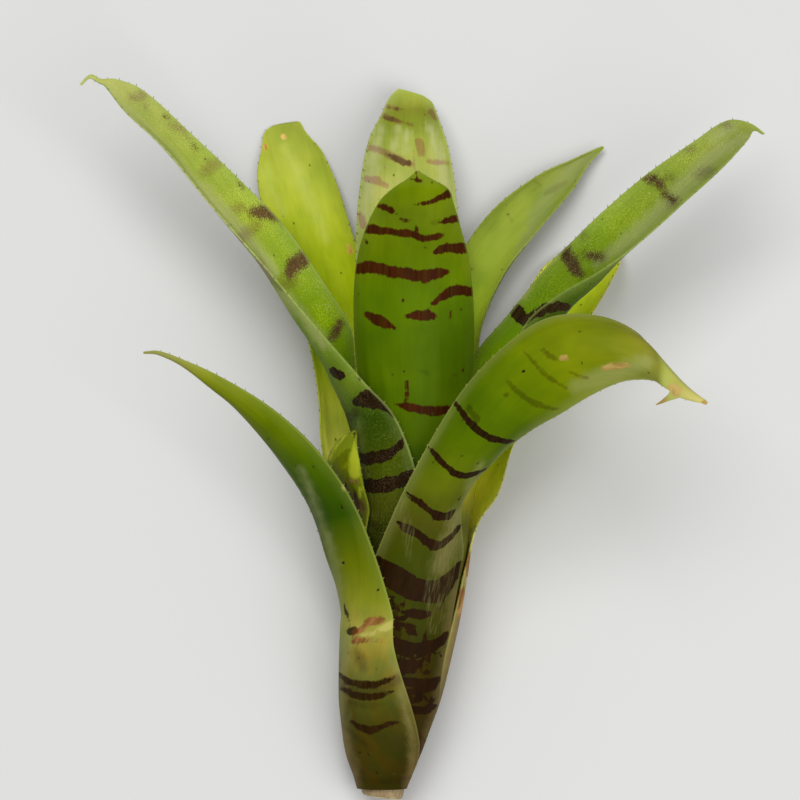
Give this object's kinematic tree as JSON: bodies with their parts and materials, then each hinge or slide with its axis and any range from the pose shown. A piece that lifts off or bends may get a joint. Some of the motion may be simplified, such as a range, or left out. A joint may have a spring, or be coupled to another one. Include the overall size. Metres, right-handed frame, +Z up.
{
  "type": "tank bromeliad",
  "caption": "Small tank bromeliad picked with a stub of stem and lying down: banded, spine-edged strap leaves overlap in a narrow tube, then spread into an open crown.",
  "frame": {"origin": "on the surface that the plant lies on, below the middle of the space it takes up", "axes": "+Z up from the surface, +Y from the cut end of the stem towards the crown, +X to the right of someone who looks down on it with the crown away from them"},
  "size_m": [0.185, 0.1982, 0.0767],
  "materials": {
    "leaf_banded": "satin, dark green with maroon cross-bands and fine pale scurf",
    "leaf_pale": "satin, bright yellow-green, slightly translucent",
    "leaf_heart": "satin, pale green with pale scurf",
    "stem": "matt, pale brown, fibrous"
  },
  "bodies": {
    "root": {"leaf_left_low": "leaf_banded", "leaf_right_front": "leaf_banded", "leaf_left_high": "leaf_banded", "leaf_right_high": "leaf_banded", "leaf_centre_front": "leaf_banded", "leaf_small_left": "leaf_pale", "leaf_left_back": "leaf_pale", "leaf_right_low": "leaf_pale", "leaf_right_back": "leaf_pale", "leaf_centre_back": "leaf_pale", "leaf_heart_right": "leaf_heart", "leaf_heart_left": "leaf_heart", "leaf_heart_spear": "leaf_heart", "stem": "stem"}
  },
  "joints": []
}
